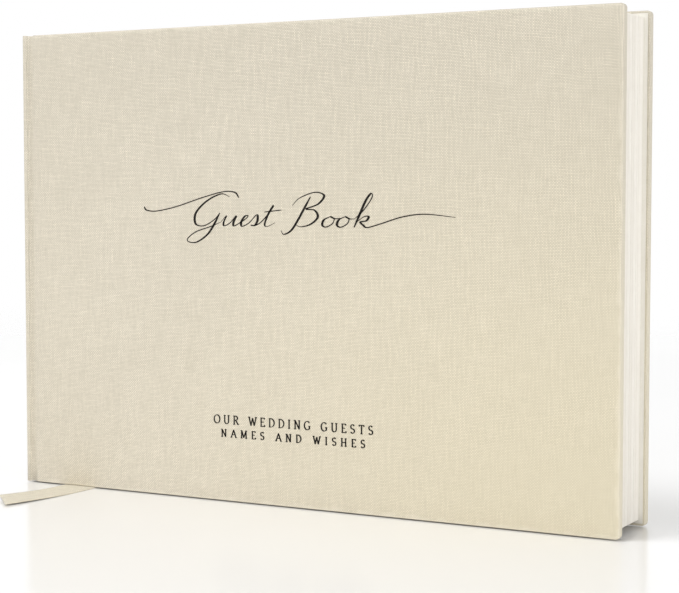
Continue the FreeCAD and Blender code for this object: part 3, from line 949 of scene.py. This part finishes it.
# %% Ribbon
ribbon_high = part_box("ribbon_marker")[1]
RIBBON_WIDTH = 12.7 * MM
RIBBON_THICK = 0.25 * MM
RIBBON_BEND = 2.025 * MM
RIBBON_MIDDLE = ribbon_high[0] - RIBBON_WIDTH / 2
STRAIGHT_Y = front_face - 5.0 * MM
DRIFT_RADIUS = 120.0 * MM
DRIFT_TURN = math.radians(16.4)
RISE_OVER = 36 * MM
LIFT = 0.8 * MM
ROLL = 0.06
CUT_STEP = 6.75 * MM
SELVEDGE_OUTER = 0.6 * MM
SELVEDGE_INNER = 0.9 * MM
HANG = block_top - RIBBON_BEND - RIBBON_THICK / 2
BEND = RIBBON_BEND * math.pi / 2
RUN = -RIBBON_BEND - STRAIGHT_Y


def ribbon_line(distance):
    """(point, sideways direction, up direction) at a distance along the ribbon's middle line."""
    floor_z = RIBBON_THICK / 2
    if distance < HANG:
        return Vector((RIBBON_MIDDLE, 0, block_top - distance)), Vector((1, 0, 0)), Vector((0, 1, 0))
    distance -= HANG
    if distance < BEND:
        angle = distance / RIBBON_BEND
        spot = Vector((RIBBON_MIDDLE, -RIBBON_BEND * (1 - math.cos(angle)),
                       floor_z + RIBBON_BEND * (1 - math.sin(angle))))
        return spot, Vector((1, 0, 0)), Vector((0, math.cos(angle), -math.sin(angle)))
    distance -= BEND
    if distance < RUN:
        spot = Vector((RIBBON_MIDDLE, -RIBBON_BEND - distance, floor_z))
        return spot, Vector((1, 0, 0)), Vector((0, 0, -1))
    distance -= RUN
    angle = distance / DRIFT_RADIUS
    share = min(distance / RISE_OVER, 1.0)
    rise = LIFT * share * share * (3 - 2 * share)
    spot = Vector((RIBBON_MIDDLE - DRIFT_RADIUS * (1 - math.cos(angle)),
                   STRAIGHT_Y - DRIFT_RADIUS * math.sin(angle), floor_z + rise))
    outward = Vector((math.cos(angle), -math.sin(angle), -ROLL * share))
    return spot, outward.normalized(), Vector((0, 0, -1))


def ribbon_finish():
    material, tree, shader = new_material("ribbon_linen", roughness=0.9, specular=0.2, sheen=0.15)
    place = add_node(tree, "ShaderNodeUVMap", uv_map="weave").outputs[0]
    cloth = use_group(tree, plain_weave, Vector=place, Pitch=0.0004, Slub=0.4,
                      Yarn_Light=(0.82, 0.77, 0.64, 1), Yarn_Dark=(0.58, 0.53, 0.42, 1))
    side = calc(tree, "ABSOLUTE", add_node(tree, "ShaderNodeSeparateXYZ", {0: place}).outputs[0])
    selvedge = ramp(tree, side, RIBBON_WIDTH / 2 - SELVEDGE_INNER, RIBBON_WIDTH / 2 - SELVEDGE_OUTER)
    height = calc(tree, "ADD", cloth["Height"], calc(tree, "MULTIPLY", selvedge, 0.7))
    colour = blend_colour(tree, calc(tree, "MULTIPLY", selvedge, 0.25), cloth["Colour"], LINEN_RUBBED)
    finish_shader(tree, shader, colour, height, strength=0.5, depth=0.0001,
                  roughness=ramp(tree, cloth["Tone"], 0.0, 1.0, 0.93, 0.84))
    return material


def ribbon_marker(columns=10, rows=130):
    total = HANG + BEND + RUN + DRIFT_RADIUS * DRIFT_TURN
    mesh_points = []
    coordinates = []
    for face in (0.5, -0.5):
        for i in range(rows + 1):
            for j in range(columns + 1):
                across = (j / columns - 0.5) * RIBBON_WIDTH
                reach = total - CUT_STEP * (0.5 - across / RIBBON_WIDTH)
                distance = reach * i / rows
                spot, sideways, up = ribbon_line(distance)
                mesh_points.append(spot + sideways * across + up * face * RIBBON_THICK)
                coordinates.append((across, distance))
    quads = []
    layer = (rows + 1) * (columns + 1)
    for i in range(rows):
        for j in range(columns):
            a = i * (columns + 1) + j
            quads.append((a, a + 1, a + columns + 2, a + columns + 1))
            quads.append((layer + a, layer + a + columns + 1, layer + a + columns + 2, layer + a + 1))
    for i in range(rows):
        for j in (0, columns):
            a = i * (columns + 1) + j
            b = a + columns + 1
            quads.append((a, b, layer + b, layer + a))
    for i in (0, rows):
        for j in range(columns):
            a = i * (columns + 1) + j
            quads.append((a, a + 1, layer + a + 1, layer + a))
    mesh = bpy.data.meshes.new("ribbon_marker_strip")
    mesh.from_pydata(mesh_points, [], quads)
    fix = bmesh.new()
    fix.from_mesh(mesh)
    bmesh.ops.recalc_face_normals(fix, faces=fix.faces)
    fix.to_mesh(mesh)
    fix.free()
    layer_uv = mesh.uv_layers.new(name="weave")
    for loop in mesh.loops:
        layer_uv.data[loop.index].uv = coordinates[loop.vertex_index]
    mesh.materials.append(ribbon_finish())
    for face in mesh.polygons:
        face.use_smooth = True
    piece = bpy.data.objects.new("ribbon_marker_strip", mesh)
    bpy.context.scene.collection.objects.link(piece)
    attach(piece, "book_block")
    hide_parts("ribbon_marker")
    return total


ribbon_length = ribbon_marker()
print(f"ribbon: {ribbon_length / MM:.0f} mm long, {RIBBON_WIDTH / MM:.1f} mm wide")

# %% [markdown]
# ## Lettering
# The title is stamped in dark foil.  A pointed pen makes thick strokes going down and hair-thin ones
# going up, and that contrast is what makes lettering look written.  So each stroke here is a
# smooth line through a few points, and its width follows its direction.  Below the title stand
# two lines of small capitals, plain words drawn from straight strokes and arcs.

# %% Pen strokes
INK_LEVEL = 0.035 * MM


def smooth_line(points, steps=9):
    """A Catmull-Rom line through the points."""
    line = []
    spots = [Vector(p) for p in points]
    spots = [spots[0] * 2 - spots[1]] + spots + [spots[-1] * 2 - spots[-2]]
    for before, start, end, after in zip(spots, spots[1:], spots[2:], spots[3:]):
        for k in range(steps):
            share = k / steps
            line.append(0.5 * (2 * start + (end - before) * share
                               + (2 * before - 5 * start + 4 * end - after) * share ** 2
                               + (3 * start - before - 3 * end + after) * share ** 3))
    line.append(spots[-2])
    return line


def pen_stroke(made, line, width_at):
    """A flat band along a line of (x, z) points on the front cover."""
    pairs = []
    for i, spot in enumerate(line):
        run = (line[min(i + 1, len(line) - 1)] - line[max(i - 1, 0)]).normalized()
        half = width_at(run, i / max(len(line) - 1, 1)) / 2
        side = Vector((-run.y, run.x)) * half
        pairs.append([made.verts.new((p.x, front_face - INK_LEVEL, p.y))
                      for p in (spot + side, spot - side)])
    for (a, b), (c, d) in zip(pairs, pairs[1:]):
        made.faces.new((a, b, d, c))


def ink():
    material, tree, shader = new_material("dark_foil", roughness=0.62, specular=0.15)
    place = add_node(tree, "ShaderNodeTexCoord").outputs["Object"]
    patch = add_node(tree, "ShaderNodeTexNoise", {"Vector": place, "Scale": 1500.0, "Detail": 2.0})
    colour = blend_colour(tree, ramp(tree, patch.outputs[0], 0.4, 0.7), (0.010, 0.008, 0.007, 1),
                          (0.030, 0.025, 0.021, 1))
    finish_shader(tree, shader, colour, patch.outputs[0], strength=0.2, depth=0.00003,
                  roughness=ramp(tree, patch.outputs[0], 0.3, 0.7, 0.55, 0.75))
    return material


foil = ink()
print("pen ready")

# %% Title
X_UNIT = 5.25 * MM
Z_UNIT = 3.5 * MM
SLANT = 0.42
TITLE_LEFT = case_left + 70.0 * MM
TITLE_BASE = case_bottom + 89.5 * MM

TITLE = [
    # entry flourish and the capital G
    [(-4.2, 1.75), (-3.9, 1.42), (-3.1, 1.35), (-1.7, 1.8), (-0.1, 2.6), (1.3, 3.15),
     (2.15, 3.1), (2.6, 2.6)],
    [(1.9, 2.7), (1.2, 2.95), (0.35, 2.3), (-0.15, 1.2), (0.1, 0.2), (0.75, 0.0),
     (1.35, 0.55), (1.6, 1.2)],
    [(1.6, 1.2), (1.5, 0.3), (1.25, -0.8), (0.6, -1.55), (-0.1, -1.35), (0.3, -0.6),
     (1.3, -0.05), (1.9, 0.35)],
    # u e s t
    [(1.9, 0.35), (2.15, 0.95), (2.12, 0.35), (2.25, 0.02), (2.6, 0.3), (2.85, 0.95), (2.83, 0.35),
     (2.95, 0.02), (3.25, 0.25), (3.6, 0.65), (3.72, 0.95), (3.5, 0.92), (3.38, 0.4), (3.55, 0.0),
     (3.95, 0.3), (4.3, 1.05), (4.5, 0.55), (4.42, 0.08), (4.15, 0.1), (4.5, 0.1), (4.85, 0.5),
     (5.2, 1.5), (5.25, 1.9), (5.1, 1.1), (5.1, 0.2), (5.35, 0.0), (5.8, 0.35)],
    [(4.75, 1.3), (5.2, 1.38), (5.95, 1.5)],
    # capital B
    [(7.6, 2.7), (7.45, 1.6), (7.3, 0.5), (7.1, -0.35), (6.7, -0.7), (6.4, -0.35)],
    [(6.55, 1.9), (6.9, 2.6), (7.8, 3.1), (8.5, 2.8), (8.3, 2.05), (7.6, 1.6), (8.2, 1.5), (8.6, 0.9),
     (8.3, 0.25), (7.7, 0.0), (7.3, 0.15)],
    # o o k and the long way out
    [(9.45, 0.95), (9.1, 0.65), (9.1, 0.2), (9.4, 0.0), (9.75, 0.3), (9.75, 0.75), (9.45, 0.95),
     (9.8, 0.75), (10.15, 0.8)],
    [(10.45, 0.95), (10.1, 0.65), (10.1, 0.2), (10.4, 0.0), (10.75, 0.3), (10.75, 0.75), (10.45, 0.95),
     (10.8, 0.75), (11.1, 0.75)],
    [(11.1, 0.7), (11.5, 1.5), (11.75, 2.6), (11.6, 3.0), (11.42, 2.4), (11.35, 1.1), (11.3, 0.0)],
    [(11.33, 0.45), (11.7, 0.95), (12.0, 0.95), (11.95, 0.6), (11.6, 0.48), (11.85, 0.2), (12.2, 0.0),
     (13.0, 0.35), (14.2, 0.95), (15.6, 1.2), (17.6, 0.95)],
]


def title_width(run, share):
    """Thick going down, thin going up, and tapered at both ends."""
    press = max(0.0, -run.y) ** 1.5
    taper = min(1.0, 0.45 + 4.0 * min(share, 1 - share))
    return (0.36 + 0.54 * press) * taper * MM


def make_title():
    made = bmesh.new()
    for stroke in TITLE:
        placed = [(TITLE_LEFT + x * X_UNIT + z * Z_UNIT * SLANT, TITLE_BASE + z * Z_UNIT)
                  for x, z in stroke]
        pen_stroke(made, smooth_line(placed), title_width)
    piece = mesh_object("title_script", made, foil, "front_cover", smooth=False)
    return piece


title = make_title()
print("title is", round(title.dimensions.x / MM, 1), "mm wide")

# %% Small capitals
def arc(centre_x, centre_z, radius_x, radius_z, start, end, steps=10):
    """Points of an arc; angles in degrees, anticlockwise from the right."""
    turns = [math.radians(start + (end - start) * k / steps) for k in range(steps + 1)]
    return [(centre_x + radius_x * math.cos(t), centre_z + radius_z * math.sin(t)) for t in turns]


# width, strokes, and the ends of strokes that carry a serif, all for a letter 1 unit high
LETTERS = {
    "A": (0.74, [[(0, 0), (0.37, 1)], [(0.37, 1), (0.74, 0)], [(0.14, 0.36), (0.60, 0.36)]],
          [(0, 0), (0.74, 0)]),
    "D": (0.72, [[(0.1, 0), (0.1, 1)], [(0, 1)] + arc(0.26, 0.5, 0.46, 0.5, 90, -90) + [(0, 0)]], []),
    "E": (0.58, [[(0.1, 0), (0.1, 1)], [(0, 1), (0.54, 1), (0.54, 0.86)],
                 [(0, 0), (0.58, 0), (0.58, 0.16)], [(0.1, 0.52), (0.44, 0.52)]], []),
    "G": (0.76, [arc(0.38, 0.5, 0.38, 0.5, 42, 318, 18), [(0.68, 0.4), (0.68, 0.1)]], [(0.66, 0.42)]),
    "H": (0.76, [[(0.1, 0), (0.1, 1)], [(0.66, 0), (0.66, 1)], [(0.1, 0.5), (0.66, 0.5)]],
          [(0.1, 0), (0.1, 1), (0.66, 0), (0.66, 1)]),
    "I": (0.24, [[(0.12, 0), (0.12, 1)]], [(0.12, 0), (0.12, 1)]),
    "M": (0.90, [[(0.1, 0), (0.12, 1)], [(0.12, 1), (0.45, 0.08)], [(0.45, 0.08), (0.78, 1)],
                 [(0.78, 1), (0.82, 0)]], [(0.1, 0), (0.08, 1), (0.82, 0), (0.82, 1)]),
    "N": (0.76, [[(0.1, 0), (0.1, 1)], [(0.1, 1), (0.66, 0)], [(0.66, 0), (0.66, 1)]],
          [(0.1, 0), (0.06, 1), (0.66, 1)]),
    "O": (0.80, [arc(0.4, 0.5, 0.4, 0.5, 0, 360, 22)], []),
    "R": (0.68, [[(0.1, 0), (0.1, 1)], [(0, 1)] + arc(0.28, 0.75, 0.28, 0.25, 90, -90) + [(0.1, 0.5)],
                 [(0.3, 0.5), (0.64, 0)]], [(0.1, 0), (0.64, 0)]),
    "S": (0.52, [arc(0.26, 0.75, 0.23, 0.25, 30, 270, 11)
                 + arc(0.26, 0.25, 0.25, 0.25, 90, -150, 11)], []),
    "T": (0.64, [[(0.02, 0.86), (0.02, 1), (0.62, 1), (0.62, 0.86)], [(0.32, 1), (0.32, 0)]],
          [(0.32, 0)]),
    "U": (0.74, [[(0.1, 1), (0.1, 0.34)] + arc(0.37, 0.3, 0.27, 0.3, 180, 360) + [(0.64, 1)]],
          [(0.1, 1), (0.64, 1)]),
    "W": (1.00, [[(0.02, 1), (0.27, 0)], [(0.27, 0), (0.5, 0.9)], [(0.5, 0.9), (0.73, 0)],
                 [(0.73, 0), (0.98, 1)]], [(0.02, 1), (0.98, 1)]),
    " ": (0.30, [], []),
}
NIB_ANGLE = math.radians(18)


def nib_width(run, share):
    """A flat nib held at a slant: upright strokes come out thick, level ones thin."""
    return (0.20 + 0.32 * abs(math.sin(math.atan2(run.y, run.x) - NIB_ANGLE))) * MM


def line_of_capitals(name, words, centre_x, base_z, height, wide):
    """Words set in capitals so that the whole line comes out as wide as asked."""
    made = bmesh.new()
    widths = [LETTERS[letter][0] * height for letter in words]
    gap = (wide - sum(widths)) / (len(words) - 1)
    x = centre_x - wide / 2
    for letter, width in zip(words, widths):
        serifs = [[(a - 0.13, b), (a + 0.13, b)] for a, b in LETTERS[letter][2]]
        for stroke in LETTERS[letter][1] + serifs:
            line = [Vector((x + a * height, base_z + b * height)) for a, b in stroke]
            for start, end in zip(line, line[1:]):
                reach = (end - start).normalized() * 0.06 * MM
                pen_stroke(made, [start - reach, end + reach], nib_width)
        x += width + gap
    piece = mesh_object(name, made, foil, "front_cover", smooth=False)
    return gap


CAPS_CENTRE = case_left + 106.8 * MM
for name, words, base, height, wide in (
        ("first_line", "OUR WEDDING GUESTS", 25.3, 2.7, 58.2),
        ("second_line", "NAMES AND WISHES", 21.0, 2.4, 52.6)):
    gap = line_of_capitals(name, words, CAPS_CENTRE, case_bottom + base * MM, height * MM, wide * MM)
    print(f"{name}: {wide} mm wide, letters {gap / MM:.2f} mm apart")
